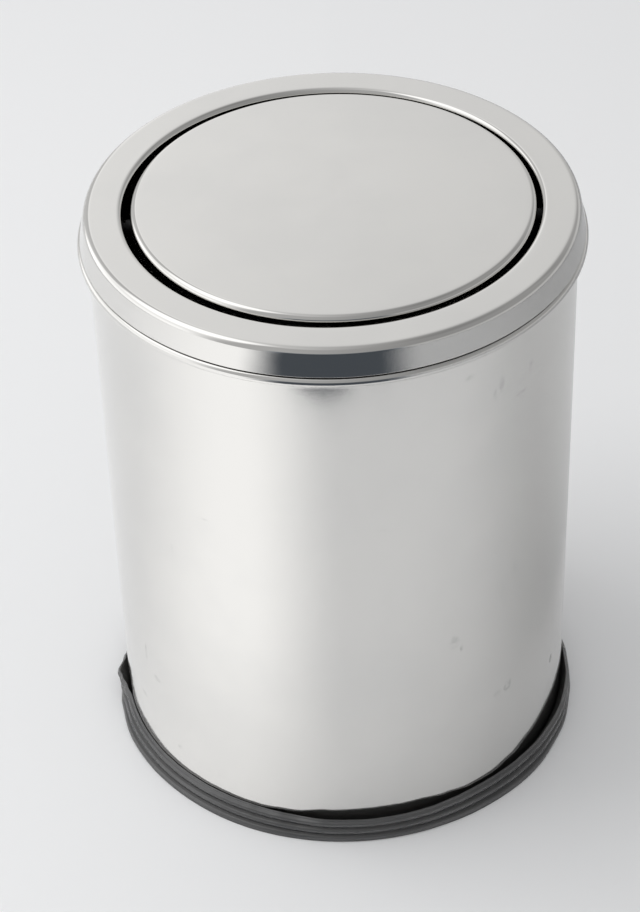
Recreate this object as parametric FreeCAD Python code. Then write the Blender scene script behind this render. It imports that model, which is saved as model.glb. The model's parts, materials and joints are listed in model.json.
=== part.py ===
import FreeCAD, Part
import math
import os

Vector = FreeCAD.Vector

# All lengths are millimetres, and the can stands on z = 0 with its axis on Z.

# Turns, in degrees
quarter_turn = 90
half_turn = 180
full_turn = 360
hexagon_sides = 6

# Body: rolled sheet with an outward curl at the mouth and a welded seam at the back
body_radius = 125.0
body_sheet = 0.5
rim_height = 314.4
curl_radius = 2.65
curl_wrap = 300
seam_width = 1.2
seam_depth = 0.12

# Bottom pan: pressed sheet with a raised middle and a flange that stands in the trim
pan_sheet = 0.6
pan_height = 14.0
pan_rise = 2.0
pan_ledge = 40.0
pan_step_slope = 45
pan_bend = 2.5
pan_fit = 0.05

# Base trim: soft ring of U section, ribbed outside, that grips the body and the pan
trim_height = 13.0
trim_stand_off = 8.2
trim_lean = 3.2
trim_floor = 2.5
trim_wall = 1.6
trim_grip = 0.15
trim_grip_height = 7.0
trim_inner_wall = 1.8
trim_inner_height = 9.0
trim_ribs = 3
rib_depth = 0.9

# Lid ring: pressed ring with a drafted skirt that rests on the curled rim
lid_sheet = 0.6
lid_rest_gap = 0.3
lid_height = 14.8
lid_overhang = 3.5
lid_shoulder = 7.0
skirt_draft = 8
lid_ring_width = 22.5
hole_roll = 2.0
hole_flange = 3.2

# Locating collar: ring welded under the lid that plugs into the mouth of the body
collar_sheet = 0.6
collar_clearance = 1.0
collar_bend = 4.5
collar_set_back = 5.2
collar_depth = 30.0
collar_lead = 4.0
collar_lead_bend = 8.0
collar_lead_slope = 15

# Flap: shallow dish that swings in the hole of the lid
flap_sheet = 0.6
flap_gap = 3.3
flap_proud = 1.2
flap_crown = 1.0
flap_edge = 3.3
flap_skirt = 1.5
flap_hem_bend = 1.2
flap_hem = 4.0
flap_float = 0.8
flap_lean = 0.4

# Crossbar: strip welded across the flap, with a turned down lug at each end
bar_sheet = 1.2
bar_width = 26.0
bar_bend = 3.0
bar_inset = 11.0
weld_gap = 0.05

# Pivot: shouldered pins in the lugs run in flanged bushes in the brackets
axle_drop = 13.2
journal_radius = 2.5
journal_clearance = 0.05
journal_chamfer = 0.6
journal_reach = 1.0
shoulder_radius = 4.0
end_play = 1.1
bush_radius = 4.0
bush_fit = 0.03
bush_flange_radius = 6.0
bush_flange = 1.2
bush_reach = 3.0

# Brackets: bent strips bolted to studs under the collar
bracket_sheet = 1.5
bracket_width = 26.0
bracket_bend = 2.5
bracket_stand_off = 1.7
bracket_flange = 8.0
bracket_stud_spacing = 18.0

# Fasteners: thread radius, nut, washer and free thread beyond the nut
small_thread_radius = 1.5
small_nut_flats = 5.5
small_nut_height = 2.4
small_washer_radius = 3.5
small_washer = 0.5
large_thread_radius = 2.5
large_nut_flats = 8.0
large_nut_height = 4.0
large_washer_radius = 5.0
large_washer = 1.0
thread_hole_gap = 0.15
thread_end = 1.2

# Counterweight: cast block hung on two studs below the crossbar
weight_length = 70.0
weight_width = 30.0
weight_height = 22.0
weight_drop = 6.0
weight_round = 3.0
weight_stud_inset = 13.0
spacer_radius = 4.5

# Places that several pieces share
lid_top = rim_height + lid_rest_gap + lid_height
lid_under = lid_top - lid_sheet
collar_under = lid_under - collar_sheet
mouth_radius = body_radius - body_sheet
pan_radius = mouth_radius - pan_fit
pan_panel_radius = pan_radius - pan_ledge
trim_radius = body_radius + trim_stand_off
lid_radius = body_radius + lid_overhang
hole_radius = lid_radius - lid_ring_width
collar_flange_inner = hole_radius + collar_set_back
flap_radius = hole_radius - flap_gap
crown_reach = flap_radius - flap_edge
crown_radius = (crown_reach ** 2 + flap_crown ** 2) / (2 * flap_crown)
crown_top = lid_top + flap_proud + flap_crown
crown_centre = crown_top - crown_radius
lug_face = flap_radius - bar_inset
axle_height = lid_top - axle_drop
plate_face = hole_radius + bracket_stand_off
weight_top = axle_height - weight_drop
weight_under = weight_top - weight_height
weight_stud_spacing = weight_length - 2 * weight_stud_inset


def along(heading, length):
    # Step of a length in the XZ plane, at a heading counted from X towards Z
    angle = math.radians(heading)
    return Vector(length * math.cos(angle), 0, length * math.sin(angle))


def sheet_section(start_x, start_z, heading, steps, sheet):
    # Section of a bent sheet. A step is a straight run, then a bend of a radius and a turn,
    # left turns positive. They follow one face, and the metal lies to the right of it.
    place = Vector(start_x, 0, start_z)
    edges = [Part.LineSegment(place, place + along(heading - quarter_turn, sheet))]
    for run, radius, turn in steps:
        if run:
            end = place + along(heading, run)
            across = along(heading - quarter_turn, sheet)
            edges.append(Part.LineSegment(place, end))
            edges.append(Part.LineSegment(place + across, end + across))
            place = end
        if turn:
            inward = math.copysign(quarter_turn, turn)
            centre = place + along(heading + inward, radius)
            for reach in (radius, radius + math.copysign(sheet, turn)):
                bend = [centre + along(heading - inward + turn * share, reach) for share in (0, 0.5, 1)]
                edges.append(Part.Arc(*bend))
            place = centre + along(heading - inward + turn, radius)
            heading += turn
    edges.append(Part.LineSegment(place, place + along(heading - quarter_turn, sheet)))
    shapes = [edge.toShape() for edge in edges]
    return Part.Face(Part.Wire(Part.sortEdges(shapes)[0]))


def spun(section):
    # Section in the XZ plane, turned round the can's axis
    return section.revolve(Vector(0, 0, 0), Vector(0, 0, 1), full_turn)


def widened(section, width):
    # Section in the XZ plane, made a strip of a width that is centred on it
    return section.translated(Vector(0, -width / 2, 0)).extrude(Vector(0, width, 0))


def shaft(radius, length, start_x):
    # Cylinder along X on the flap's axis
    return Part.makeCylinder(radius, length, Vector(start_x, 0, axle_height), Vector(1, 0, 0))


def round_ended(strip, width):
    # Strip whose lower end is a half circle about the flap's axis
    box = strip.BoundBox
    corner = Vector(box.XMin, -width / 2, axle_height)
    upper = Part.makeBox(box.XLength, width, box.ZMax - axle_height, corner)
    keep = upper.fuse(shaft(width / 2, box.XLength, box.XMin))
    return strip.common(keep).Solids[0]


def at_left(piece):
    # The same piece on the other end of the flap's axis
    return piece.rotated(Vector(0, 0, 0), Vector(0, 0, 1), half_turn)


def floated(piece):
    # Piece of the flap, which lies to one side within its end play and leans up at the front
    leaned = piece.rotated(Vector(0, 0, axle_height), Vector(1, 0, 0), -flap_lean)
    return leaned.translated(Vector(flap_float, 0, 0))


def upright(radius, length, x, y, top):
    # Vertical cylinder that hangs down from a height
    return Part.makeCylinder(radius, length, Vector(x, y, top - length))


def pierced(piece, cutters):
    # Piece with holes, kept as one solid
    for cutter in cutters:
        piece = piece.cut(cutter)
    return piece.Solids[0]


def hex_nut(flats, height, thread_radius):
    # Nut that hangs below the origin, round the Z axis
    corner = flats / 2 / math.cos(math.radians(half_turn / hexagon_sides))
    turns = [math.radians(full_turn * side / hexagon_sides) for side in range(hexagon_sides + 1)]
    ring = [Vector(corner * math.cos(turn), corner * math.sin(turn), -height) for turn in turns]
    prism = Part.Face(Part.makePolygon(ring)).extrude(Vector(0, 0, height))
    return pierced(prism, [upright(thread_radius, height, 0, 0, 0)])


def washer(radius, thickness, thread_radius):
    # Washer that hangs below the origin, round the Z axis
    hole = upright(thread_radius, thickness, 0, 0, 0)
    return pierced(upright(radius, thickness, 0, 0, 0), [hole])


def body_shell():
    wall = rim_height - curl_radius - trim_floor
    steps = [(wall, curl_radius, -curl_wrap)]
    shell = spun(sheet_section(mouth_radius, trim_floor, quarter_turn, steps, body_sheet))
    seam_corner = Vector(-seam_width / 2, body_radius - seam_depth, trim_floor)
    seam = Part.makeBox(seam_width, body_sheet, wall - curl_radius, seam_corner)
    return pierced(shell, [seam])


def bottom_pan():
    slope = math.radians(pan_step_slope)
    step_bend = pan_rise / 2 / (1 - math.cos(slope))
    ledge = pan_radius - pan_bend - pan_panel_radius - 2 * step_bend * math.sin(slope)
    flange = pan_height - pan_bend - trim_floor
    steps = [
        (pan_panel_radius, step_bend, -pan_step_slope),
        (0, step_bend, pan_step_slope),
        (ledge, pan_bend, -quarter_turn),
        (flange, 0, 0),
    ]
    return spun(sheet_section(0, pan_height + pan_rise, 0, steps, pan_sheet))


def base_trim():
    foot = Vector(trim_radius - rib_depth, 0, 0)
    lip = foot + Vector(-trim_lean, 0, trim_height)
    inner_face = pan_radius - pan_sheet - trim_grip
    outer_face = body_radius + trim_grip
    outline = [
        lip,
        lip - Vector(trim_wall, 0, 0),
        Vector(outer_face, 0, trim_grip_height),
        Vector(outer_face, 0, trim_floor),
        Vector(inner_face, 0, trim_floor),
        Vector(inner_face, 0, trim_inner_height),
        Vector(inner_face - trim_inner_wall, 0, trim_inner_height),
        Vector(inner_face - trim_inner_wall, 0, 0),
        foot,
    ]
    edges = [Part.LineSegment(a, b).toShape() for a, b in zip(outline, outline[1:])]
    step = (lip - foot) / trim_ribs
    swell = Vector(step.z, 0, -step.x) * (rib_depth / step.Length)
    for rib in range(trim_ribs):
        start = foot + step * rib
        edges.append(Part.Arc(start, start + step / 2 + swell, start + step).toShape())
    return spun(Part.Face(Part.Wire(Part.sortEdges(edges)[0])))


def lid_ring():
    draft = math.radians(skirt_draft)
    skirt = (lid_height - lid_shoulder * (1 - math.sin(draft))) / math.cos(draft)
    shoulder_start = lid_radius - lid_shoulder * math.cos(draft) - skirt * math.sin(draft)
    flat = shoulder_start - hole_radius - hole_roll
    steps = [
        (hole_flange, hole_roll, -quarter_turn),
        (flat, lid_shoulder, skirt_draft - quarter_turn),
        (skirt, 0, 0),
    ]
    lower = lid_top - hole_roll - hole_flange
    return spun(sheet_section(hole_radius, lower, quarter_turn, steps, lid_sheet))


def locating_collar():
    wall_face = mouth_radius - collar_clearance
    lead = math.radians(collar_lead_slope)
    lead_drop = collar_lead_bend * math.sin(lead) + collar_lead * math.cos(lead)
    steps = [
        (wall_face - collar_bend - collar_flange_inner, collar_bend, -quarter_turn),
        (collar_depth - collar_bend - lead_drop, collar_lead_bend, -collar_lead_slope),
        (collar_lead, 0, 0),
    ]
    return spun(sheet_section(collar_flange_inner, lid_under, 0, steps, collar_sheet))


def bracket_stud_places():
    x = plate_face + bracket_bend + bracket_flange / 2
    ends = [Vector(x, side * bracket_stud_spacing / 2, 0) for side in (-1, 1)]
    return ends + [-end for end in ends]


def pivot_bracket():
    lower = axle_height - bracket_width / 2
    steps = [
        (collar_under - bracket_bend - lower, bracket_bend, -quarter_turn),
        (bracket_flange, 0, 0),
    ]
    strip = widened(sheet_section(plate_face, lower, quarter_turn, steps, bracket_sheet), bracket_width)
    hole = small_thread_radius + thread_hole_gap
    holes = [upright(hole, bracket_sheet, p.x, p.y, collar_under) for p in bracket_stud_places()[:2]]
    holes.append(shaft(bush_radius + bush_fit, bracket_sheet, plate_face))
    return pierced(round_ended(strip, bracket_width), holes)


def bracket_studs():
    length = bracket_sheet + small_washer + small_nut_height + thread_end
    return Part.makeCompound(
        [upright(small_thread_radius, length, p.x, p.y, collar_under) for p in bracket_stud_places()]
    )


def on_bracket_studs(piece, top):
    drop = Vector(0, 0, top)
    return Part.makeCompound([piece.translated(p + drop) for p in bracket_stud_places()])


def bracket_washers():
    ring = washer(small_washer_radius, small_washer, small_thread_radius + thread_hole_gap)
    return on_bracket_studs(ring, collar_under - bracket_sheet)


def bracket_nuts():
    nut = hex_nut(small_nut_flats, small_nut_height, small_thread_radius)
    return on_bracket_studs(nut, collar_under - bracket_sheet - small_washer)


def pivot_bush():
    flange = shaft(bush_flange_radius, bush_flange, plate_face - bush_flange)
    sleeve = shaft(bush_radius, bracket_sheet + bush_reach, plate_face)
    length = bush_flange + bracket_sheet + bush_reach
    bore = shaft(journal_radius + journal_clearance, length, plate_face - bush_flange)
    return pierced(flange.fuse(sleeve).removeSplitter(), [bore])


def flap_disc():
    turn = math.degrees(math.asin(crown_reach / (crown_radius - flap_edge)))
    steps = [
        (0, crown_radius, -turn),
        (0, flap_edge, turn - quarter_turn),
        (flap_skirt, flap_hem_bend, -quarter_turn),
        (flap_hem, 0, 0),
    ]
    return floated(spun(sheet_section(0, crown_top, 0, steps, flap_sheet)))


def bar_face_radius():
    # Radius of the crossbar's upper face, which follows the inside of the flap's crown
    return crown_radius - flap_sheet - weld_gap


def bar_under(x):
    # Height of the crossbar's lower face at a distance from the middle
    return crown_centre + math.sqrt((bar_face_radius() - bar_sheet) ** 2 - x ** 2)


def flap_crossbar():
    face = bar_face_radius()
    tilt = math.degrees(math.asin((lug_face - bar_bend) / (face - bar_bend)))
    shoulder = crown_centre + (face - bar_bend) * math.cos(math.radians(tilt))
    lower = axle_height - bar_width / 2
    steps = [
        (shoulder - lower, bar_bend, tilt - quarter_turn),
        (0, face, -2 * tilt),
        (0, bar_bend, tilt - quarter_turn),
        (shoulder - lower, 0, 0),
    ]
    strip = widened(sheet_section(-lug_face, lower, quarter_turn, steps, bar_sheet), bar_width)
    hole = shaft(large_thread_radius + thread_hole_gap, 2 * lug_face, -lug_face)
    return floated(pierced(round_ended(strip, bar_width), [hole]))


def pivot_pin():
    tail = bar_sheet + large_washer + large_nut_height + thread_end
    shoulder = plate_face - bush_flange - end_play - lug_face
    journal = bush_flange + end_play + bracket_sheet + bush_reach + journal_reach
    tip = journal_radius - journal_chamfer
    stations = [
        (-tail, 0),
        (-tail, large_thread_radius),
        (0, large_thread_radius),
        (0, shoulder_radius),
        (shoulder, shoulder_radius),
        (shoulder, journal_radius),
        (shoulder + journal - journal_chamfer, journal_radius),
        (shoulder + journal, tip),
        (shoulder + journal, 0),
        (-tail, 0),
    ]
    outline = [Vector(lug_face + x, 0, axle_height + radius) for x, radius in stations]
    section = Part.Face(Part.makePolygon(outline))
    return section.revolve(Vector(0, 0, axle_height), Vector(1, 0, 0), full_turn)


def on_pins(piece, x):
    # Nut or washer on the threaded tail of both pins, at its outer face's distance from the middle
    turned = piece.rotated(Vector(0, 0, 0), Vector(0, 1, 0), quarter_turn)
    right = turned.translated(Vector(x, 0, axle_height))
    return floated(Part.makeCompound([right, at_left(right)]))


def pin_washers():
    ring = washer(large_washer_radius, large_washer, large_thread_radius + thread_hole_gap)
    return on_pins(ring, lug_face - bar_sheet)


def pin_nuts():
    nut = hex_nut(large_nut_flats, large_nut_height, large_thread_radius)
    return on_pins(nut, lug_face - bar_sheet - large_washer)


def on_weight_studs(piece, top):
    places = [Vector(side * weight_stud_spacing / 2, 0, top) for side in (-1, 1)]
    return floated(Part.makeCompound([piece.translated(place) for place in places]))


def spacer_top():
    # The spacers end on the crossbar's lower face at their outermost edge
    return bar_under(weight_stud_spacing / 2 + spacer_radius)


def counterweight():
    corner = Vector(-weight_length / 2, -weight_width / 2, weight_under)
    block = Part.makeBox(weight_length, weight_width, weight_height, corner)
    block = block.makeFillet(weight_round, block.Edges)
    hole = large_thread_radius + thread_hole_gap
    sides = [side * weight_stud_spacing / 2 for side in (-1, 1)]
    return floated(pierced(block, [upright(hole, weight_height, x, 0, weight_top) for x in sides]))


def weight_studs():
    length = spacer_top() - weight_under + large_washer + large_nut_height + thread_end
    return on_weight_studs(upright(large_thread_radius, length, 0, 0, 0), spacer_top())


def weight_spacers():
    tube = washer(spacer_radius, spacer_top() - weight_top, large_thread_radius + thread_hole_gap)
    return on_weight_studs(tube, spacer_top())


def weight_washers():
    ring = washer(large_washer_radius, large_washer, large_thread_radius + thread_hole_gap)
    return on_weight_studs(ring, weight_under)


def weight_nuts():
    nut = hex_nut(large_nut_flats, large_nut_height, large_thread_radius)
    return on_weight_studs(nut, weight_under - large_washer)


pieces = {
    "body_shell": body_shell(),
    "bottom_pan": bottom_pan(),
    "base_trim": base_trim(),
    "lid_ring": lid_ring(),
    "locating_collar": locating_collar(),
    "bracket_studs": bracket_studs(),
    "pivot_bracket_left": at_left(pivot_bracket()),
    "pivot_bracket_right": pivot_bracket(),
    "bracket_washers": bracket_washers(),
    "bracket_nuts": bracket_nuts(),
    "pivot_bush_left": at_left(pivot_bush()),
    "pivot_bush_right": pivot_bush(),
    "flap_disc": flap_disc(),
    "flap_crossbar": flap_crossbar(),
    "pivot_pin_left": floated(at_left(pivot_pin())),
    "pivot_pin_right": floated(pivot_pin()),
    "pin_washers": pin_washers(),
    "pin_nuts": pin_nuts(),
    "counterweight": counterweight(),
    "weight_studs": weight_studs(),
    "weight_spacers": weight_spacers(),
    "weight_washers": weight_washers(),
    "weight_nuts": weight_nuts(),
}

os.makedirs("parts", exist_ok=True)
for name, shape in pieces.items():
    shape.exportStep("parts/" + name + ".step")
    print(name, "valid", shape.isValid(), "solids", len(shape.Solids), "volume", round(shape.Volume, 1))
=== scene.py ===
import json
import math

import bmesh
import bpy
import numpy as np
from mathutils import Matrix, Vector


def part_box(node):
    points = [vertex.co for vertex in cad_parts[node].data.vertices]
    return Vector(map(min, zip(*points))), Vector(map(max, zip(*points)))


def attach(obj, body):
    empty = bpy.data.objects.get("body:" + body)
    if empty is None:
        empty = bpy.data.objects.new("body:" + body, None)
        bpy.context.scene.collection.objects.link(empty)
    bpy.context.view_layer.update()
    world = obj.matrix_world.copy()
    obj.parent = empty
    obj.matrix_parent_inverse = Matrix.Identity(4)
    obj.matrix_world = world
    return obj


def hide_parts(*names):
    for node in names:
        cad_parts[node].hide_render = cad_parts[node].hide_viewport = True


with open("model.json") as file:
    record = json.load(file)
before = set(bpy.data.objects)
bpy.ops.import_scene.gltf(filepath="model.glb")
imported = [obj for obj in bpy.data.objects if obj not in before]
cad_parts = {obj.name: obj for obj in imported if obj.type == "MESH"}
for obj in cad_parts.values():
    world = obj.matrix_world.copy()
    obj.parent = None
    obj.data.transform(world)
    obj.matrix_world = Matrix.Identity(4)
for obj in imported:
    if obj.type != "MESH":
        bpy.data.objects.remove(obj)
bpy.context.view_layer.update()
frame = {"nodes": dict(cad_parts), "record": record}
nodes = frame["nodes"]
print("frame loaded with", len(nodes), "nodes")

# Mesh tools, all in metres in the can's own frame. Headings and bends of a section are in degrees, and
# angles round the can in radians.

meshLook = {"cutEdgeRows": 8, "poleReach": 1e-7}
rightAngle = 90
fullTurn = 2 * math.pi


def unit(heading):
    # Unit step in the radius-height plane, at a heading in degrees from outwards towards up
    turn = np.radians(heading)
    return np.stack((np.cos(turn), np.sin(turn)), -1)


def bentSheet(start, heading, steps, sheet, atAxis=False):
    # Section of a bent sheet. A step is (run, rows, bend radius, turn, bend rows), left turns
    # positive. The steps follow one face, the other face lies one sheet to the right, and the
    # cut edges are half round. A sheet that starts at the axis has no cut edge there. Each
    # stretch but the first leaves out the point that it shares with the one before.
    place = np.array(start, float)
    face, headings = [], []
    for run, rows, radius, turn, bendRows in steps:
        if run:
            along = np.linspace(0, run, rows)[min(1, len(face)):, None]
            face.append(place + along * unit(heading))
            headings.append(np.full(len(along), float(heading)))
            place = place + run * unit(heading)
        if turn:
            side = math.copysign(rightAngle, turn)
            centre = place + radius * unit(heading + side)
            turns = heading + np.linspace(0, turn, bendRows + 1)[min(1, len(face)):]
            face.append(centre - radius * unit(turns + side))
            headings.append(turns)
            heading = heading + turn
            place = centre - radius * unit(heading + side)
    face, headings = np.concatenate(face), np.concatenate(headings)
    half = sheet / 2
    face[-1] -= half * unit(headings[-1])
    if not atAxis:
        face[0] += half * unit(headings[0])
    back = face + sheet * unit(headings - rightAngle)
    bow = np.linspace(0, 2 * rightAngle, meshLook["cutEdgeRows"])[1:-1]
    endEdge = (face[-1] + back[-1]) / 2 + half * unit(headings[-1] + rightAngle - bow)
    startEdge = (face[0] + back[0]) / 2 + half * unit(headings[0] - rightAngle - bow)
    edges = (face, endEdge, back[::-1], startEdge)
    return np.concatenate(edges[:-1] if atAxis else edges)


def ripple(waves, around, along):
    # Sum of cosines: each wave is (height, turns round the can, waves per metre along it, phase)
    return sum(h * np.cos(n * around + fullTurn * k * along + p) for h, n, k, p in waves)


def grown(distance, width):
    # Share that grows evenly from 0 to 1 over a width
    return np.clip(distance / width, 0, 1)


def evenTurns(columns):
    # Angles of even columns round the can
    return np.linspace(0, fullTurn, columns, endpoint=False)


def spun(radius, height, angles, middle=0.0):
    # Rows of radius and height turned round Z: x = middle + r cos a, y = r sin a
    radius, height, angles = np.broadcast_arrays(radius, height, angles)
    return np.stack((middle + radius * np.cos(angles), radius * np.sin(angles), height), -1)


def makePiece(name, grid, closedRows=True, sharpAngle=None):
    # Mesh of a grid of points whose columns close round, and whose rows close too unless they
    # end in poles. Faces are turned so that the enclosed volume comes out positive.
    rows, columns = grid.shape[:2]
    index = np.arange(rows * columns).reshape(rows, columns)
    if closedRows:
        index = np.vstack((index, index[:1]))
    index = np.hstack((index, index[:, :1]))
    quads = np.stack((index[:-1, :-1], index[1:, :-1], index[1:, 1:], index[:-1, 1:]), -1).reshape(-1, 4)
    points = grid.reshape(-1, 3)
    a, b, c, d = (points[quads[:, corner]] for corner in range(4))
    if np.einsum("ij,ij->", np.cross(a, b) + np.cross(c, d), (a + b + c + d)) < 0:
        quads = quads[:, ::-1]
    mesh = bpy.data.meshes.new(name)
    mesh.vertices.add(len(points))
    mesh.vertices.foreach_set("co", points.astype(np.float32).ravel())
    mesh.loops.add(quads.size)
    mesh.loops.foreach_set("vertex_index", quads.astype(np.int32).ravel())
    mesh.polygons.add(len(quads))
    mesh.polygons.foreach_set("loop_start", np.arange(0, quads.size, 4, dtype=np.int32))
    mesh.polygons.foreach_set("use_smooth", np.ones(len(quads), bool))
    mesh.update(calc_edges=True)
    if not closedRows:
        closePoles(mesh)
    if sharpAngle:
        mesh.set_sharp_from_angle(angle=math.radians(sharpAngle))
    piece = bpy.data.objects.new(name, mesh)
    bpy.context.scene.collection.objects.link(piece)
    return piece


def closePoles(mesh):
    # Points that fall together on the axis become one
    work = bmesh.new()
    work.from_mesh(mesh)
    bmesh.ops.remove_doubles(work, verts=work.verts, dist=meshLook["poleReach"])
    work.to_mesh(mesh)
    work.free()


def dress(piece, body, node, finish):
    # A finished piece stands for its CAD node and moves with that node's body
    piece.data.materials.append(finish)
    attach(piece, body)
    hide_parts(node)
    print("made", piece.name, "with", len(piece.data.polygons), "faces")


# Shader tools

class Wire:
    # A socket of a node tree: operators on values add Math nodes, and make adds any other node
    def __init__(self, tree, socket=None):
        self.tree = tree
        self.socket = socket

    def make(self, kind, settings=None, inputs=None, output=0):
        node = self.tree.nodes.new("ShaderNode" + kind)
        for name, value in (settings or {}).items():
            if name == "stops":
                ramp = node.color_ramp.elements
                for extra in range(len(value) - len(ramp)):
                    ramp.new(0.5)
                for stop, (place, colour) in zip(ramp, value):
                    stop.position = place
                    stop.color = colour
            else:
                setattr(node, name, value)
        for name, value in (inputs or {}).items():
            if isinstance(value, Wire):
                self.tree.links.new(value.socket, node.inputs[name])
            else:
                node.inputs[name].default_value = value
        return Wire(self.tree, node.outputs[output] if node.outputs else None)

    def sum(self, operation, first, second=0.0):
        return self.make("Math", {"operation": operation}, {0: first, 1: second})

    def __add__(self, other):
        return self.sum("ADD", self, other)

    def __sub__(self, other):
        return self.sum("SUBTRACT", self, other)

    def __rsub__(self, other):
        return self.sum("SUBTRACT", other, self)

    def __mul__(self, other):
        return self.sum("MULTIPLY", self, other)

    def __truediv__(self, other):
        return self.sum("DIVIDE", self, other)

    __radd__ = __add__
    __rmul__ = __mul__

    def axes(self, place):
        # The three numbers of a vector
        parts = self.make("SeparateXYZ", {}, {0: place})
        return [Wire(self.tree, part) for part in parts.socket.node.outputs]

    def ease(self, low, high, fromValue=0.0, toValue=1.0):
        # Smooth step from one value to another between two limits
        settings = {"interpolation_type": "SMOOTHSTEP"}
        inputs = {"Value": self, "From Min": low, "From Max": high, "To Min": fromValue, "To Max": toValue}
        return self.make("MapRange", settings, inputs)

    def noise(self, place, scale, detail, roughness, stretch=None, limits=None):
        # Noise on a place, squeezed along some of its axes, and eased into patches between limits
        if stretch:
            place = self.make("VectorMath", {"operation": "MULTIPLY"}, {0: place, 1: stretch})
        inputs = {"Vector": place, "Scale": scale, "Detail": detail, "Roughness": roughness}
        grey = self.make("TexNoise", {}, inputs)
        return grey.ease(*limits) if limits else grey

    def blend(self, share, first, second):
        # Mix of two colours
        return self.make("Mix", {"data_type": "RGBA"}, {0: share, 6: first, 7: second}, 2)


def newFinish(name):
    # Empty material, a wire to add its nodes with, and the place on the object
    finish = bpy.data.materials.new(name)
    finish.use_nodes = True
    finish.node_tree.nodes.clear()
    wire = Wire(finish.node_tree)
    return finish, wire, wire.make("TexCoord", output="Object")


def surface(wire, inputs, bump=None, strength=0.0, depth=0.0):
    # Principled shader on the material's output, with an optional height for its bump
    if bump:
        heights = {"Height": bump, "Strength": strength, "Distance": depth}
        inputs = {**inputs, "Normal": wire.make("Bump", {}, heights)}
    shader = wire.make("BsdfPrincipled", {}, inputs)
    wire.make("OutputMaterial", {}, {"Surface": shader})


def shade(grey, tint=(1.0, 1.0, 1.0)):
    # Opaque colour: a grey times a tint
    return (grey * tint[0], grey * tint[1], grey * tint[2], 1.0)


# Finishes. A bump is its strength and its depth, and a Rough value is what a pattern adds to roughness.

polishLook = {
    "bright": shade(0.735, (1.0, 0.988, 0.962)),
    "dull": shade(0.705, (1.0, 0.99, 0.968)),
    "gloss": 0.07,
    "smudge": 0.025,
    "cloudSmudge": 0.4,
    "lineTone": 0.2,
    "lineRough": 0.04,
    "lineStrength": 0.03,
    "lineDepth": 0.00004,
    "fineShare": 0.5,
    "cloud": dict(scale=14.0, detail=4.0, roughness=0.55, limits=(0.38, 0.68)),
    "smear": dict(scale=34.0, detail=3.0, roughness=0.6, stretch=(1.0, 1.0, 0.45), limits=(0.52, 0.74)),
    "lines": dict(scale=9.0, detail=4.0, roughness=0.65, stretch=(1.0, 1.0, 190.0)),
    "fineLines": dict(scale=30.0, detail=2.0, roughness=0.5, stretch=(1.0, 1.0, 210.0)),
}


def polishedSteel(name, look, wall=None):
    # Bright rolled sheet: faint rolling lines round the can and cloudy handling smears, and on the
    # can's wall small marks and the weld's stain
    finish, wire, place = newFinish(name)
    cloud, smear, lines, fine = (
        wire.noise(place, **look[pattern]) for pattern in ("cloud", "smear", "lines", "fineLines")
    )
    dulled = cloud * (1 - look["lineTone"]) + lines * look["lineTone"]
    tone = wire.blend(dulled, look["bright"], look["dull"])
    rough = look["gloss"] + cloud * (look["smudge"] * look["cloudSmudge"]) + smear * look["smudge"]
    rough = rough + lines * look["lineRough"]
    if wall:
        dirt = handlingMarks(wire, place, wall)
        tone = wire.blend(dirt, tone, wall["markTone"])
        rough = rough + dirt * wall["markRough"]
        tint, stain = weldStain(wire, place, wall["seam"])
        tone = wire.blend(stain, tone, tint)
        rough = rough + stain * wall["seam"]["stainRough"]
    inputs = {"Base Color": tone, "Metallic": 1.0, "Roughness": rough}
    heights = lines * (1 - look["fineShare"]) + fine * look["fineShare"]
    surface(wire, inputs, heights, look["lineStrength"], look["lineDepth"])
    return finish


def handlingMarks(wire, place, wall):
    # Small scuffs at an angle from the front and a height: soft ellipses broken up by noise
    x, y, z = wire.axes(place)
    angle = wire.sum("ARCTAN2", x, 0 - y)
    total = None
    for turn, height, wide, tall, dark in wall["marks"]:
        across = (angle - math.radians(turn)) * (wall["wallRadius"] / wide)
        upward = (z - height) / tall
        spot = (across * across + upward * upward).ease(*wall["markEdge"], dark, 0.0)
        total = spot if total is None else wire.sum("MAXIMUM", total, spot)
    return total * wire.noise(place, **wall["markBreaks"])


def weldStain(wire, place, seam):
    # Straw to blue heat stain along the welded seam at the back
    x, y = wire.axes(place)[:2]
    off = wire.sum("ABSOLUTE", x + (wire.noise(place, **seam["stray"]) - 0.5) * seam["strayReach"])
    stain = off.ease(seam["width"] / 2, seam["stainWidth"], seam["stainShare"], 0.0)
    stain = stain * y.ease(*seam["backOnly"])
    tint = wire.make("ValToRGB", {"stops": seam["stainTones"]}, {"Fac": off / seam["stainWidth"]})
    return tint, stain


millLook = {
    "light": shade(0.58),
    "dark": shade(0.47, (1.0, 1.0, 1.01)),
    "gloss": 0.3,
    "grainRough": 0.16,
    "cloudRough": 0.06,
    "bump": (0.1, 0.00005),
    "grain": dict(scale=40.0, detail=4.0, roughness=0.7, stretch=(1.0, 24.0, 24.0)),
    "cloud": dict(scale=22.0, detail=4.0, roughness=0.6, limits=(0.35, 0.7)),
}


def millSteel(look):
    # Unpolished sheet: grey, satin, with a fine grain in one direction
    finish, wire, place = newFinish("millSteel")
    grain = wire.noise(place, **look["grain"])
    cloud = wire.noise(place, **look["cloud"])
    tone = wire.blend(cloud, look["light"], look["dark"])
    rough = look["gloss"] + grain * look["grainRough"] + cloud * look["cloudRough"]
    surface(wire, {"Base Color": tone, "Metallic": 1.0, "Roughness": rough}, grain, *look["bump"])
    return finish


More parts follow.
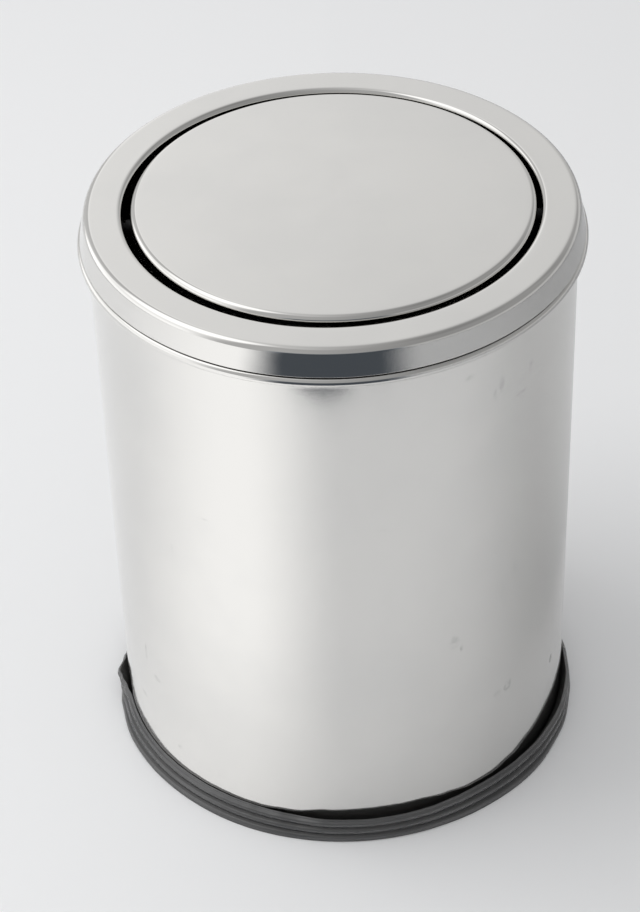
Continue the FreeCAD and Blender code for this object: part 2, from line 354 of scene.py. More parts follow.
zincLook = {
    "light": shade(0.56, (0.97, 0.99, 1.03)),
    "dark": shade(0.46, (0.98, 1.0, 1.03)),
    "rubbed": shade(0.3, (1.05, 1.0, 0.92)),
    "rubbedShare": 0.35,
    "gloss": 0.34,
    "mottleRough": 0.12,
    "stainRough": 0.1,
    "bump": (0.12, 0.00005),
    "mottle": dict(scale=320.0, detail=4.0, roughness=0.6, limits=(0.35, 0.68)),
    "stain": dict(scale=70.0, detail=3.0, roughness=0.6, limits=(0.55, 0.75)),
}


def zincPlate(look):
    # Dull plated strip and fasteners: bluish grey with a faint mottle and dark rubbed spots
    finish, wire, place = newFinish("zincPlate")
    mottle = wire.noise(place, **look["mottle"])
    stain = wire.noise(place, **look["stain"])
    tone = wire.blend(mottle, look["light"], look["dark"])
    tone = wire.blend(stain * look["rubbedShare"], tone, look["rubbed"])
    rough = look["gloss"] + mottle * look["mottleRough"] + stain * look["stainRough"]
    surface(wire, {"Base Color": tone, "Metallic": 1.0, "Roughness": rough}, mottle, *look["bump"])
    return finish


oxideLook = {
    # near black: partly the oxide's own colour, partly painted shade for the pivot gaps
    "black": shade(0.022, (0.98, 1.0, 1.06)),
    "worn": shade(0.09),
    "wornShare": 0.4,
    "metal": 0.5,
    "gloss": 0.46,
    "turnedRough": 0.14,
    "bump": (0.15, 0.00003),
    "turned": dict(scale=40.0, detail=3.0, roughness=0.6, stretch=(60.0, 1.0, 1.0)),
    "wear": dict(scale=240.0, detail=3.0, roughness=0.6, limits=(0.5, 0.72)),
}


def blackOxide(look):
    # Turned pins, chemically blackened, with fine turning lines round them. Their near-black tone is partly
    # painted shade: it keeps them as dark as the shade in the pivot gaps.
    finish, wire, place = newFinish("blackOxide")
    turned = wire.noise(place, **look["turned"])
    wear = wire.noise(place, **look["wear"])
    tone = wire.blend(wear * look["wornShare"], look["black"], look["worn"])
    rough = look["gloss"] + turned * look["turnedRough"]
    surface(wire, {"Base Color": tone, "Metallic": look["metal"], "Roughness": rough}, turned, *look["bump"])
    return finish


plasticLook = {
    "black": shade(0.02),
    "grey": shade(0.045),
    "gloss": 0.42,
    "grainRough": 0.2,
    "bump": (0.2, 0.00005),
    "grain": dict(scale=1800.0, detail=3.0, roughness=0.6),
    "cloud": dict(scale=90.0, detail=3.0, roughness=0.5),
}


def blackPlastic(look):
    # Moulded black plastic with a fine grain
    finish, wire, place = newFinish("blackPlastic")
    grain = wire.noise(place, **look["grain"])
    tone = wire.blend(wire.noise(place, **look["cloud"]), look["black"], look["grey"])
    rough = look["gloss"] + grain * look["grainRough"]
    surface(wire, {"Base Color": tone, "Roughness": rough}, grain, *look["bump"])
    return finish


castLook = {
    "skin": shade(0.16, (1.0, 1.0, 1.03)),
    "hollow": shade(0.085, (1.12, 1.0, 0.88)),
    "hollowLimits": (0.4, 0.65),
    "metal": 0.75,
    "gloss": 0.5,
    "sandRough": 0.2,
    "sandHeight": 0.6,
    "bump": (0.55, 0.0004),
    "sand": dict(scale=650.0, detail=5.0, roughness=0.7),
    "pits": dict(scale=150.0, detail=4.0, roughness=0.6),
}


def castIron(look):
    # Raw casting, oiled: pitted sand skin with brownish hollows
    finish, wire, place = newFinish("castIron")
    sand = wire.noise(place, **look["sand"])
    pits = wire.noise(place, **look["pits"])
    tone = wire.blend(pits.ease(*look["hollowLimits"]), look["skin"], look["hollow"])
    rough = look["gloss"] + sand * look["sandRough"]
    inputs = {"Base Color": tone, "Metallic": look["metal"], "Roughness": rough}
    surface(wire, inputs, sand * look["sandHeight"] + pits, *look["bump"])
    return finish


vinylLook = {
    "black": shade(0.045, (1.0, 1.0, 1.03)),
    "rubbed": shade(0.062),
    # painted shade for the grooves and the inner faces
    "groove": shade(0.014),
    "shine": 1.0,
    "gloss": 0.52,
    "wearGloss": 0.3,
    "rubbedRough": 0.05,
    "bump": (0.08, 0.0006),
    "rubbing": dict(scale=22.0, detail=2.0, roughness=0.5, limits=(0.35, 0.7)),
    "uneven": dict(scale=60.0, detail=2.0, roughness=0.5),
}


def softVinyl(look):
    # Soft extruded trim: satin black, greyed and shiny where its ribs are rubbed, dull and with
    # painted shade in the grooves and on the inner faces, and slightly uneven
    finish, wire, place = newFinish("softVinyl")
    wear = wire.make("Attribute", {"attribute_name": "wear"}, output="Fac")
    rubbing = wire.noise(place, **look["rubbing"])
    tone = wire.blend(rubbing, look["black"], look["rubbed"])
    # painted shade: the dark groove tone takes over where the wear attribute falls off, in the grooves and
    # on the inner faces
    tone = wire.blend(wear, look["groove"], tone)
    rough = look["gloss"] - wear * look["wearGloss"] + rubbing * look["rubbedRough"]
    inputs = {"Base Color": tone, "Roughness": rough, "Specular IOR Level": look["shine"]}
    surface(wire, inputs, wire.noise(place, **look["uneven"]), *look["bump"])
    return finish


# Body: rolled sheet with a curled rim, a butt weld at the back and slight hand-rolled waviness

bodyLow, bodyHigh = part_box("body_shell")
bodyLook = {
    "wallRadius": 0.125,
    "sheet": 0.0005,
    "curlRadius": 0.00265,
    "curlTurn": 300,
    "wallRows": 50,
    "curlRows": 30,
    "columns": 480,
    # the waves start this far below the rim, and grow from there and from the foot over a height
    "calmRim": 0.012,
    "waveFade": 0.03,
    "waves": [
        (0.00014, 2, 0.4, 0.7),
        (0.00006, 3, -1.1, 2.1),
        (0.000035, 7, 2.6, 4.0),
        (0.00002, 12, -4.3, 1.2),
        (0.000012, 5, 11.0, 3.3),
    ],
    "seam": {
        "width": 0.0012,
        "depth": 0.00016,
        "grooveShare": 0.45,
        "flat": 0.00022,
        "flatWidth": 0.012,
        "fade": 0.004,
        # close columns across the seam, their reach and the even columns' distance in seam widths
        "columns": 25,
        "reach": 1.5,
        "clear": 1.6,
        "stainWidth": 0.006,
        "stainShare": 0.55,
        "stainRough": 0.18,
        "stray": dict(scale=60.0, detail=2.0, roughness=0.5),
        "strayReach": 0.0012,
        "backOnly": (0.0, 0.05),
        "stainTones": [
            (0.0, shade(0.34, (1.0, 1.0, 1.06))),
            (0.45, shade(0.5, (1.0, 0.93, 0.78))),
            (1.0, shade(0.68)),
        ],
    },
    "markTone": shade(0.16),
    "markRough": 0.25,
    "markEdge": (0.1, 1.0),
    "markBreaks": dict(scale=260.0, detail=3.0, roughness=0.7, limits=(0.36, 0.6)),
    # degrees from the front, height, half width, half height, darkness
    "marks": [
        (30.8, 0.2965, 0.0035, 0.0020, 0.12),
        (40.0, 0.2835, 0.0022, 0.0062, 0.13),
        (38.2, 0.2790, 0.0018, 0.0040, 0.12),
        (46.5, 0.2700, 0.0050, 0.0020, 0.12),
        (50.0, 0.2820, 0.0022, 0.0060, 0.12),
        (29.3, 0.1195, 0.0011, 0.0045, 0.30),
        (27.3, 0.1260, 0.0040, 0.0060, 0.14),
        (44.3, 0.0730, 0.0038, 0.0050, 0.22),
        (40.7, 0.0720, 0.0034, 0.0030, 0.14),
        (65.8, 0.0552, 0.0024, 0.0036, 0.9),
        (45.7, 0.1560, 0.0006, 0.0050, 0.12),
        (41.6, 0.1457, 0.0006, 0.0050, 0.10),
        (-44.3, 0.1764, 0.0006, 0.0060, 0.10),
        (-33.0, 0.2092, 0.0030, 0.0008, 0.08),
        (10.5, 0.2149, 0.0060, 0.0006, 0.08),
        (-60.0, 0.0800, 0.0018, 0.0070, 0.24),
        (-55.3, 0.0670, 0.0040, 0.0026, 0.18),
        (-63.3, 0.0420, 0.0040, 0.0022, 0.14),
        (-47.3, 0.0270, 0.0030, 0.0020, 0.18),
    ],
}
backAngle = fullTurn / 4


def seamTurns(look):
    # Even turns, with close extra columns across the seam at the back
    even = evenTurns(look["columns"])
    seam = look["seam"]
    wide = seam["width"] / look["wallRadius"]
    close = backAngle + wide * np.linspace(-seam["reach"], seam["reach"], seam["columns"])
    keep = even[np.abs(even - backAngle) > seam["clear"] * wide]
    return np.sort(np.concatenate((keep, close)))


def seamDip(angles, look):
    # A wide shallow flat with a narrow rounded groove in it, both bell curves of the arc length
    seam = look["seam"]
    off = (angles - backAngle) * look["wallRadius"]
    flat = seam["flat"] * np.exp(-(off / seam["flatWidth"]) ** 2)
    groove = seam["depth"] * np.exp(-(off / (seam["width"] * seam["grooveShare"])) ** 4)
    return flat + groove


def bodyShell(look, finish):
    # Wall and curl turned round Z: the radius has low waves, still at the foot and the rim, less
    # the seam's dip, which ends below the curl
    wall = bodyHigh.z - look["curlRadius"] - bodyLow.z
    steps = [(wall, look["wallRows"], look["curlRadius"], -look["curlTurn"], look["curlRows"])]
    inside = look["wallRadius"] - look["sheet"]
    section = bentSheet((inside, bodyLow.z), rightAngle, steps, look["sheet"])
    radius, height = section[:, :1], section[:, 1:]
    angles = seamTurns(look)
    fade = look["waveFade"]
    waving = grown(height - bodyLow.z, fade) * grown(bodyHigh.z - look["calmRim"] - height, fade)
    dipping = grown(bodyHigh.z - 2 * look["curlRadius"] - height, look["seam"]["fade"])
    shaped = ripple(look["waves"], angles, height) * waving - seamDip(angles, look) * dipping
    piece = makePiece("bodyShell", spun(radius + shaped, height, angles))
    dress(piece, "can", "body_shell", finish)


bodyShell(bodyLook, polishedSteel("bodySteel", polishLook, bodyLook))

# Bottom pan: pressed sheet with a raised middle, a ledge and a flange

panLow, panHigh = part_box("bottom_pan")
panLook = {
    "sheet": 0.0006,
    "rise": 0.002,
    "ledge": 0.04,
    "stepSlope": 45,
    "bend": 0.0025,
    "columns": 240,
    "rows": {"panel": 30, "step": 8, "ledge": 12, "bend": 10, "flange": 6},
}


def bottomPan(look, finish):
    # Bent section turned round Z: a flat, two bends down to the ledge, and a bend to the flange
    rows = look["rows"]
    slope = math.radians(look["stepSlope"])
    stepBend = look["rise"] / 2 / (1 - math.cos(slope))
    panel = panHigh.x - look["ledge"]
    ledge = panHigh.x - look["bend"] - panel - 2 * stepBend * math.sin(slope)
    flange = panHigh.z - look["rise"] - look["bend"] - panLow.z
    steps = [
        (panel, rows["panel"], stepBend, -look["stepSlope"], rows["step"]),
        (0, 0, stepBend, look["stepSlope"], rows["step"]),
        (ledge, rows["ledge"], look["bend"], -rightAngle, rows["bend"]),
        (flange, rows["flange"], 0, 0, 0),
    ]
    section = bentSheet((0, panHigh.z), 0, steps, look["sheet"], atAxis=True)
    grid = spun(section[:, :1], section[:, 1:], evenTurns(look["columns"]))
    piece = makePiece("bottomPan", grid, closedRows=False)
    dress(piece, "can", "bottom_pan", finish)


plainSteel = millSteel(millLook)
bottomPan(panLook, plainSteel)

# Base trim: soft ribbed ring whose lip hugs the can on the left and stands off it in waves

trimLook = {
    "gripRadius": 0.12515,
    "gripHeight": 0.0055,
    "floor": 0.0025,
    "slant": 0.0124,
    "lipThick": 0.0008,
    "lipRise": 0.0006,
    "lipRows": 8,
    "leastGap": 0.00005,
    "ribs": 3,
    "ribDepth": 0.0011,
    "ribRows": 16,
    "grooveSharpness": 4,
    "innerRows": 14,
    "innerBow": 1.4,
    "innerRadius": 0.1219,
    "innerFace": 0.1237,
    "innerHeight": 0.009,
    "corner": 0.0004,
    "sharpAngle": 38,
    "columns": 720,
    # degrees from the right, anticlockwise seen from above, and how far the lip stands off
    "lip": [
        (0, 0.0016), (6, 0.0004), (10, 0.0001), (171, 0.0001), (175, 0.0005), (178, 0.0020), (183, 0.0052),
        (185.5, 0.0036), (189, 0.0016), (193, 0.0001), (246, 0.0001), (255, 0.0010), (264, 0.0031),
        (276, 0.0037), (289, 0.0034), (296, 0.0021), (303, 0.0010), (310, 0.0010), (318, 0.0020),
        (327, 0.0034), (338, 0.0042), (349, 0.0034),
    ],
    # degrees and how far the foot reaches
    "foot": [
        (0, 0.1291), (12, 0.1283), (40, 0.1300), (90, 0.1314), (140, 0.1300), (168, 0.1278),
        (178, 0.1280), (184, 0.1285), (190, 0.1304), (203, 0.1321), (220, 0.1322), (252, 0.1331),
        (290, 0.1332), (303, 0.1335), (320, 0.1339), (336, 0.1324), (350, 0.1303),
    ],
    "lipHeight": [(0.00012, 7, 0, 2.0), (0.00006, 41, 0, 1.0), (0.00004, 97, 0, 0.3)],
    "lipWobble": [(0.00004, 9, 0, 1.4), (0.00003, 23, 0, 0.2), (0.00002, 61, 0, 2.7)],
}


def roundTheCan(places, angles):
    # Listed values joined round the ring by half cosine waves
    turns, values = np.array(places).T
    turns = np.append(np.radians(turns), fullTurn)
    values = np.append(values, values[0])
    at = np.clip(np.searchsorted(turns, angles, "right") - 1, 0, len(values) - 2)
    share = (angles - turns[at]) / (turns[at + 1] - turns[at])
    return values[at] + (values[at + 1] - values[at]) * (1 - np.cos(math.pi * share)) / 2


def baseTrim(look, finish):
    # U section carried round the can: the wall keeps its slant length, so it stands lower where its
    # lip lies against the can. Its ribs are broad waves along the slant with narrow soft grooves, and
    # its lip is a quarter round that rises to a thin edge. Wear is full on ribs and lip, none elsewhere,
    # and where it is none the finish paints shade: in the grooves and on the inner faces.
    angles = evenTurns(look["columns"])
    standOff = roundTheCan(look["lip"], angles) + ripple(look["lipWobble"], angles, 0)
    gap = np.maximum(standOff, look["leastGap"])
    foot = roundTheCan(look["foot"], angles)
    lipInner = look["gripRadius"] + gap
    lean = foot - lipInner - look["lipThick"]
    top = np.sqrt(look["slant"] ** 2 - lean ** 2) + ripple(look["lipHeight"], angles, 0)
    share = np.linspace(0, 1, look["ribs"] * look["ribRows"] + 1)[:, None]
    rib = 1 - np.cos(math.pi * look["ribs"] * share) ** look["grooveSharpness"]
    swell = look["ribDepth"] * rib
    outerRadius = foot - lean * share + swell * top / look["slant"]
    outerHeight = top * share + swell * lean / look["slant"]
    bow = np.linspace(0, fullTurn / 4, look["lipRows"])[1:, None]
    crownRadius = lipInner + look["lipThick"] * np.cos(bow)
    crownHeight = top + look["lipRise"] * np.sin(bow)
    down = np.linspace(1, 0, look["innerRows"])[1:, None]
    innerRadius = look["gripRadius"] + gap * down ** look["innerBow"]
    innerHeight = look["gripHeight"] + (top + look["lipRise"] - look["gripHeight"]) * down
    corner = look["corner"]
    rest = np.array([
        (look["gripRadius"], look["floor"]),
        (look["innerFace"], look["floor"]),
        (look["innerFace"], look["innerHeight"] - corner),
        (look["innerFace"] - corner, look["innerHeight"]),
        (look["innerRadius"] + corner, look["innerHeight"]),
        (look["innerRadius"], look["innerHeight"] - corner),
        (look["innerRadius"], corner),
        (look["innerRadius"] + corner, 0.0),
    ])
    flat = np.ones_like(angles)
    radius = np.concatenate((outerRadius, crownRadius, innerRadius, rest[:, :1] * flat))
    height = np.concatenate((outerHeight, crownHeight, innerHeight, rest[:, 1:] * flat))
    piece = makePiece("baseTrim", spun(radius, height, angles), sharpAngle=look["sharpAngle"])
    halfRib = 0.5 / look["ribs"]
    wear = np.zeros_like(radius)
    # the wear attribute also carries painted shade: where it is low, in the grooves and on the inner faces,
    # the finish paints them dark
    wear[:len(share)] = np.where(share > 1 - halfRib, 1, rib)
    wear[len(share):len(share) + len(bow)] = 1
    layer = piece.data.attributes.new("wear", "FLOAT", "POINT")
    layer.data.foreach_set("value", wear.astype(np.float32).ravel())
    dress(piece, "can", "base_trim", finish)


baseTrim(trimLook, softVinyl(vinylLook))

# Lid ring: pressed ring with a rolled hole edge, a flat, a round shoulder and a drafted skirt

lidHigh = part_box("lid_ring")[1]
lidLook = {
    "sheet": 0.0006,
    "height": 0.0144,
    "shoulder": 0.0042,
    "draft": 12,
    "holeRadius": 0.106,
    "holeRoll": 0.0028,
    "holeFlange": 0.0024,
    "columns": 512,
    "rows": {"flange": 6, "roll": 16, "flat": 16, "shoulder": 22, "skirt": 16},
    # each set of waves starts a little away from its bend and grows over a width
    "skirtCalm": 0.003,
    "skirtFade": 0.005,
    "skirtWaves": [
        (0.00006, 3, 0, 0.4), (0.00004, 8, 14, 1.1), (0.00003, 13, -20, 2.3), (0.00002, 29, 35, 0.2),
    ],
    "flatCalm": 0.001,
    "flatFade": 0.004,
    "flatWaves": [(0.00005, 2, 3, 0.3), (0.00003, 5, -9, 1.9), (0.000015, 11, 20, 4.1)],
    # where its finish differs from polishLook
    "finish": {"gloss": 0.035, "smudge": 0.03, "lineStrength": 0.015},
}


def lidRing(look, finish):
    # Bent section turned round Z, with low waves in the skirt's radius and in the flat's height
    rows = look["rows"]
    draft = math.radians(look["draft"])
    skirt = (look["height"] - look["shoulder"] * (1 - math.sin(draft))) / math.cos(draft)
    shoulderStart = lidHigh.x - look["shoulder"] * math.cos(draft) - skirt * math.sin(draft)
    flat = shoulderStart - look["holeRadius"] - look["holeRoll"]
    steps = [
        (look["holeFlange"], rows["flange"], look["holeRoll"], -rightAngle, rows["roll"]),
        (flat, rows["flat"], look["shoulder"], look["draft"] - rightAngle, rows["shoulder"]),
        (skirt, rows["skirt"], 0, 0, 0),
    ]
    lower = lidHigh.z - look["holeRoll"] - look["holeFlange"]
    section = bentSheet((look["holeRadius"], lower), rightAngle, steps, look["sheet"])
    radius, height = section[:, :1], section[:, 1:]
    angles = evenTurns(look["columns"])
    outside = radius > shoulderStart
    onSkirt = grown(lidHigh.z - look["skirtCalm"] - height, look["skirtFade"]) * outside
    onFlat = grown(radius - look["holeRadius"] - look["flatCalm"], look["flatFade"]) * (1 - onSkirt)
    radius = radius + ripple(look["skirtWaves"], angles, height) * onSkirt
    height = height + ripple(look["flatWaves"], angles, radius) * onFlat
    piece = makePiece("lidRing", spun(radius, height, angles))
    dress(piece, "lid", "lid_ring", finish)


lidRing(lidLook, polishedSteel("lidSteel", {**polishLook, **lidLook["finish"]}))

# Locating collar: ring under the lid with a flange, a wall and a turned-in lead

collarLow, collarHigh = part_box("locating_collar")
collarLook = {
    "sheet": 0.0006,
    "flangeInner": 0.1112,
    "bend": 0.0045,
    "lead": 0.004,
    "leadBend": 0.008,
    "leadSlope": 15,
    "columns": 360,
    "rows": {"flange": 6, "bend": 12, "wall": 12, "leadBend": 6, "lead": 5},
}


def locatingCollar(look, finish):
    # Bent section turned round Z: flange, bend, wall, and a slight bend inwards to the lead
    rows = look["rows"]
    slope = math.radians(look["leadSlope"])
    leadDrop = look["leadBend"] * math.sin(slope) + look["lead"] * math.cos(slope)
    wall = collarHigh.z - collarLow.z - look["bend"] - leadDrop
    flange = collarHigh.x - look["bend"] - look["flangeInner"]
    steps = [
        (flange, rows["flange"], look["bend"], -rightAngle, rows["bend"]),
        (wall, rows["wall"], look["leadBend"], -look["leadSlope"], rows["leadBend"]),
        (look["lead"], rows["lead"], 0, 0, 0),
    ]
    section = bentSheet((look["flangeInner"], collarHigh.z), 0, steps, look["sheet"])
    piece = makePiece("locatingCollar", spun(section[:, :1], section[:, 1:], evenTurns(look["columns"])))
    dress(piece, "lid", "locating_collar", finish)


locatingCollar(collarLook, plainSteel)

# Flap: shallow crowned dish with a rounded edge and a hem

flapLow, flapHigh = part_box("flap_disc")
joints = {joint["name"]: joint for joint in frame["record"]["behaviour"]["joints"]}
flapAxle = joints["flap_swing"]["pos_m"][2]
flapLook = {
    "sheet": 0.0006,
    "proud": 0.0012,
    "lean": 0.4,
    "crown": 0.001,
    "edge": 0.0033,
    "skirt": 0.0015,
    "hemBend": 0.0012,
    "hem": 0.004,
    "columns": 440,
    "rows": {"crown": 44, "edge": 20, "skirt": 5, "hemBend": 10, "hem": 6},
    # the waves grow from the middle and from the crown's edge over these widths
    "middleFade": 0.03,
    "edgeFade": 0.02,
    "waves": [(0.00006, 2, 5, 1.0), (0.00003, 3, -9, 0.2), (0.000015, 5, 16, 2.2)],
    # where its finish differs from polishLook
    "finish": {"gloss": 0.05, "smudge": 0.03, "lineStrength": 0.0},
}


def leaned(grid, lean, axle):
    # Turn about the flap's axis, front up by a lean in degrees
    turn = math.radians(-lean)
    x, y, z = grid[..., 0], grid[..., 1], grid[..., 2] - axle
    back = y * math.cos(turn) - z * math.sin(turn)
    up = y * math.sin(turn) + z * math.cos(turn)
    return np.stack((x, back, axle + up), -1)


def flapDisc(look, finish):
    # Crown of a wide sphere, edge bend, skirt and hem turned round Z, with low waves in the crown
    rows = look["rows"]
    reach = (flapHigh.x - flapLow.x) / 2
    crownReach = reach - look["edge"]
    crownRadius = (crownReach ** 2 + look["crown"] ** 2) / (2 * look["crown"])
    turn = math.degrees(math.asin(crownReach / (crownRadius - look["edge"])))
    steps = [
        (0, 0, crownRadius, -turn, rows["crown"]),
        (0, 0, look["edge"], turn - rightAngle, rows["edge"]),
        (look["skirt"], rows["skirt"], look["hemBend"], -rightAngle, rows["hemBend"]),
        (look["hem"], rows["hem"], 0, 0, 0),
    ]
    crownTop = lidHigh.z + look["proud"] + look["crown"]
    section = bentSheet((0, crownTop), 0, steps, look["sheet"], atAxis=True)
    radius, height = section[:, :1], section[:, 1:]
    angles = evenTurns(look["columns"])
    onCrown = grown(radius, look["middleFade"]) * grown(crownReach - radius, look["edgeFade"])
    height = height + ripple(look["waves"], angles, radius) * onCrown
    middle = (flapHigh.x + flapLow.x) / 2
    grid = leaned(spun(radius, height, angles, middle), look["lean"], flapAxle)
    piece = makePiece("flapDisc", grid, closedRows=False)
    dress(piece, "flap", "flap_disc", finish)


flapDisc(flapLook, polishedSteel("flapSteel", {**polishLook, **flapLook["finish"]}))

# Carried-over nodes: brackets, fasteners and pivots keep their solids and get their finishes

keptFinishes = {
    zincPlate(zincLook): [
        "bracket_studs", "pivot_bracket_left", "pivot_bracket_right", "bracket_washers", "bracket_nuts",
        "flap_crossbar", "pin_washers", "pin_nuts",
        "weight_studs", "weight_spacers", "weight_washers", "weight_nuts",
    ],
    blackOxide(oxideLook): ["pivot_pin_left", "pivot_pin_right"],
    blackPlastic(plasticLook): ["pivot_bush_left", "pivot_bush_right"],
    castIron(castLook): ["counterweight"],
}
for finish, names in keptFinishes.items():
    for name in names:
        nodes[name].data.materials.clear()
        nodes[name].data.materials.append(finish)
print("finishes on", sum(map(len, keptFinishes.values())), "kept nodes")

# Stage: pale floor, cards on it for the steel to mirror, a soft lamp and a soft room

floorLook = {"reach": 8.0, "tone": shade(0.9, (0.995, 1.0, 1.01)), "roughness": 0.7, "specular": 0.2}


def stageSquare(name, reach, height, finish):
    # Level square that reaches as far from the can's axis on all four sides, and isn't part of the can
    corners = [
        (-reach, -reach, height), (reach, -reach, height), (reach, reach, height), (-reach, reach, height),
    ]
    mesh = bpy.data.meshes.new(name)
    mesh.from_pydata(corners, [], [tuple(range(len(corners)))])
    mesh.materials.append(finish)
    plate = bpy.data.objects.new(name, mesh)
    bpy.context.scene.collection.objects.link(plate)
    return plate


def paleFloor(look):
    finish, wire = newFinish("paleFloor")[:2]
    inputs = {
        "Base Color": look["tone"],
        "Roughness": look["roughness"],
        "Specular IOR Level": look["specular"],
    }
    surface(wire, inputs)
    stageSquare("floor", look["reach"], 0.0, finish)


# Each card has a tone, a height and a strength. It starts and is full at the near distances from the
# axis, with a share at its start, and bow moves them out by the square of the angle from the bow's
# middle, up to the bow's end. Over the turns, degrees from the front and right positive, it starts, is
# full, thins out and has thinned out, with shares before and after.
cardReach = 8.0
cardLooks = {
    # painted pool of light on the floor at the left and front left, glowing and seen only in reflections
    "paleCard": {
        "tone": shade(1.2), "height": 0.002, "strength": 1.0,
        "near": (0.13, 0.3), "nearShare": 0.5, "bow": 0.0, "bowMiddle": 0, "bowEnd": 0,
        "turns": (-105, -46, -40, 2), "shares": (0.12, 0.0),
    },
    "dimCard": {
        # painted shadow of the can on the floor to the right and behind, seen only in reflections
        "tone": shade(0.085), "height": 0.003, "strength": 0.24,
        "near": (0.14, 0.22), "nearShare": 0.0, "bow": 0.0, "bowMiddle": 0, "bowEnd": 0,
        "turns": (45, 100, 150, 175), "shares": (0.0, 0.0),
    },
    "darkCard": {
        "tone": shade(0.085, (0.88, 1.0, 1.16)), "height": 0.004, "strength": 1.0,
        "near": (0.496, 0.514), "nearShare": 0.0, "bow": 0.4, "bowMiddle": -6, "bowEnd": 18,
        "turns": (-40, -20, 16, 36), "shares": (0.0, 0.24),
    },
}


def mirrorCard(name, look):
    # Clear square just above the floor with a soft-edged sector that only shows in reflections
    finish, wire, place = newFinish(name)
    x, y = wire.axes(place)[:2]
    turn = wire.sum("ARCTAN2", x, 0 - y)
    aside = turn - math.radians(look["bowMiddle"])
    bowed = wire.sum("MINIMUM", aside * aside, math.radians(look["bowEnd"]) ** 2)
    distance = wire.sum("SQRT", x * x + y * y) - bowed * look["bow"]
    starts, full, thins, ends = np.radians(look["turns"])
    before, after = look["shares"]
    share = distance.ease(*look["near"], look["nearShare"], 1.0)
    share = share * turn.ease(starts, full, before, 1.0) * turn.ease(thins, ends, 1.0, after)
    shine = wire.make("Emission", {}, {"Color": look["tone"]})
    clear = wire.make("BsdfTransparent")
    mixed = wire.make("MixShader", {}, {0: share * look["strength"], 1: clear, 2: shine})
    wire.make("OutputMaterial", {}, {"Surface": mixed})
    card = stageSquare(name, cardReach, look["height"], finish)
    card.visible_camera = card.visible_shadow = card.visible_diffuse = False


lampLook = {"place": (-1.05, 0.12, 1.65), "target": (0.0, 0.0, 0.2), "size": 1.25, "power": 12.5}


def softLamp(look):
    # Square lamp turned to its target, which the steel doesn't mirror
    light = bpy.data.lights.new("softLamp", "AREA")
    light.shape = "SQUARE"
    light.size = look["size"]
    light.energy = look["power"]
    lamp = bpy.data.objects.new("softLamp", light)
    lamp.location = look["place"]
    away = np.array(look["place"]) - np.array(look["target"])
    away /= np.linalg.norm(away)
    side = np.cross((0, 0, 1), away)
    side /= np.linalg.norm(side)
    turned = Matrix(np.stack((side, np.cross(away, side), away), 1).tolist())
    lamp.rotation_euler = turned.to_euler()
    lamp.visible_glossy = False
    bpy.context.scene.collection.objects.link(lamp)


# Smooth steps of the mirrored room: low limit, high limit, value below and value above, or 0 and 1 where
# none are given, along x to the right, y to the back or z up. Turns are degrees to either side of the
# front.
roomLook = {
    "leftToRight": (-0.75, 0.55, 1.12, 0.36),
    "behind": (0.2, 0.7, 0.0, 0.175),
    "overhead": (0.7, 1.0, 0.0, 0.12),
    "lowBehindY": (0.3, 0.7),
    "lowBehindZ": (0.5, 0.66, 0.06, 0.0),
    "rightBackX": (0.25, 0.5, 0.0, 0.3),
    "rightBackY": (0.3, 0.5),
    "leftBackX": (-0.75, -0.6),
    "leftBackEnd": (-0.36, -0.22, 1.0, 0.0),
    "leftBackY": (0.3, 0.5),
    "leftBackLoss": 0.5,
    "lowLeftX": (-0.8, -0.65, 0.2, 0.0),
    "lowLeftZ": (0.2, 0.45, 1.0, 0.0),
    "frontTurns": (45, 70),
    "frontZ": (0.88, 0.99, 1.0, 0.0),
    "frontX": (-0.6, 0.6, 0.52, 0.34),
    "lowRightX": (0.3, 0.6),
    "lowRightZ": (0.24, 0.36, 0.2, 0.0),
    "darkTurns": (20, 32),
    "darkZ": (0.14, 0.36, 1.0, 0.0),
    "darkGlow": 0.08,
    "darkTint": shade(1.0, (0.88, 1.0, 1.16)),
    # soft box: direction, degrees from it where it ends and is full, glow
    "softBox": (-0.6, 0.05, 0.798),
    "softBoxEdge": (27, 15),
    "softBoxGlow": 1.45,
    "fill": 0.66,
}


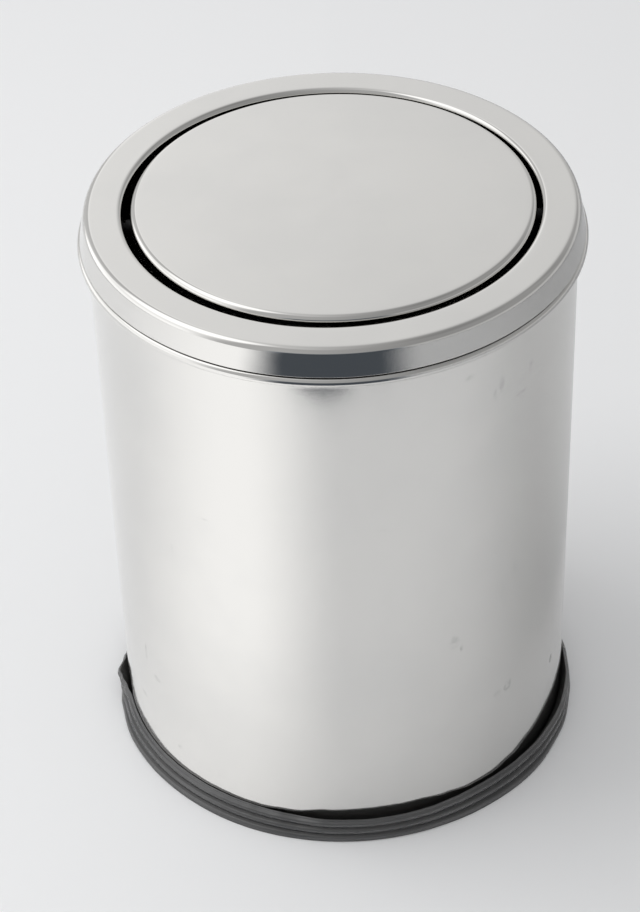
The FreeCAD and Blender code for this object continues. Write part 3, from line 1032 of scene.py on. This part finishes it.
def softRoom(look):
    # Room mirrored by the steel, by direction: bright on the left, dim on the right, a little more
    # behind, grey overhead and in front, dark low in front. Everything else gets an even fill.
    world = bpy.data.worlds.new("softRoom")
    bpy.context.scene.world = world
    world.use_nodes = True
    world.node_tree.nodes.clear()
    wire = Wire(world.node_tree)
    x, y, z = wire.axes(wire.make("TexCoord", output="Generated"))
    aside = wire.sum("ABSOLUTE", wire.sum("ARCTAN2", x, 0 - y))
    room = x.ease(*look["leftToRight"]) + y.ease(*look["behind"]) - z.ease(*look["overhead"])
    room = room + y.ease(*look["lowBehindY"]) * z.ease(*look["lowBehindZ"])
    room = room * (1 - x.ease(*look["rightBackX"]) * y.ease(*look["rightBackY"]))
    leftBack = x.ease(*look["leftBackX"]) * x.ease(*look["leftBackEnd"]) * y.ease(*look["leftBackY"])
    room = room * (1 - leftBack * look["leftBackLoss"])
    room = room + x.ease(*look["lowLeftX"]) * z.ease(*look["lowLeftZ"])
    front = aside.ease(*np.radians(look["frontTurns"]), 1.0, 0.0) * z.ease(*look["frontZ"])
    room = room * (1 - front) + front * x.ease(*look["frontX"])
    room = room + x.ease(*look["lowRightX"]) * z.ease(*look["lowRightZ"])
    toBox = x * look["softBox"][0] + y * look["softBox"][1] + z * look["softBox"][2]
    box = toBox.ease(*np.cos(np.radians(look["softBoxEdge"])))
    room = room * (1 - box) + box * look["softBoxGlow"]
    dark = aside.ease(*np.radians(look["darkTurns"]), 1.0, 0.0) * z.ease(*look["darkZ"])
    room = room * (1 - dark) + dark * look["darkGlow"]
    mirrored = wire.make("LightPath", output="Is Glossy Ray")
    light = room * mirrored + (1 - mirrored) * look["fill"]
    tint = wire.blend(dark, shade(1.0), look["darkTint"])
    glow = wire.make("Background", {}, {"Color": tint, "Strength": light})
    wire.make("OutputWorld", {}, {"Surface": glow})


paleFloor(floorLook)
for name, look in cardLooks.items():
    mirrorCard(name, look)
softLamp(lampLook)
softRoom(roomLook)
print("stage set")

# Camera at the photo's place: angles in degrees, lens and sensor in millimetres

cameraLook = {
    "place": (0.0, -1.1065, 1.0689),
    "pitch": 39.31,
    "yaw": -0.53,
    "roll": -1.96,
    "lens": 103.64,
    "sensor": 36.0,
}


def photoCamera(look):
    # Looks down by the pitch, aside by the yaw, and is turned about its own line of sight by the roll
    pitch, yaw, roll = np.radians([look["pitch"], look["yaw"], look["roll"]])
    ahead = np.array((np.sin(yaw) * np.cos(pitch), np.cos(yaw) * np.cos(pitch), -np.sin(pitch)))
    level = np.array((np.cos(yaw), -np.sin(yaw), 0.0))
    rise = np.cross(level, ahead)
    right = level * np.cos(roll) + rise * np.sin(roll)
    up = -level * np.sin(roll) + rise * np.cos(roll)
    lens = bpy.data.cameras.new("photoCamera")
    lens.lens = look["lens"]
    lens.sensor_width = look["sensor"]
    lens.sensor_fit = "AUTO"
    camera = bpy.data.objects.new("photoCamera", lens)
    turned = Matrix(np.stack((right, up, -ahead), 1).tolist()).to_4x4()
    camera.matrix_world = Matrix.Translation(look["place"]) @ turned
    bpy.context.scene.collection.objects.link(camera)
    bpy.context.scene.camera = camera


photoCamera(cameraLook)
bpy.context.scene.view_settings.view_transform = "Standard"
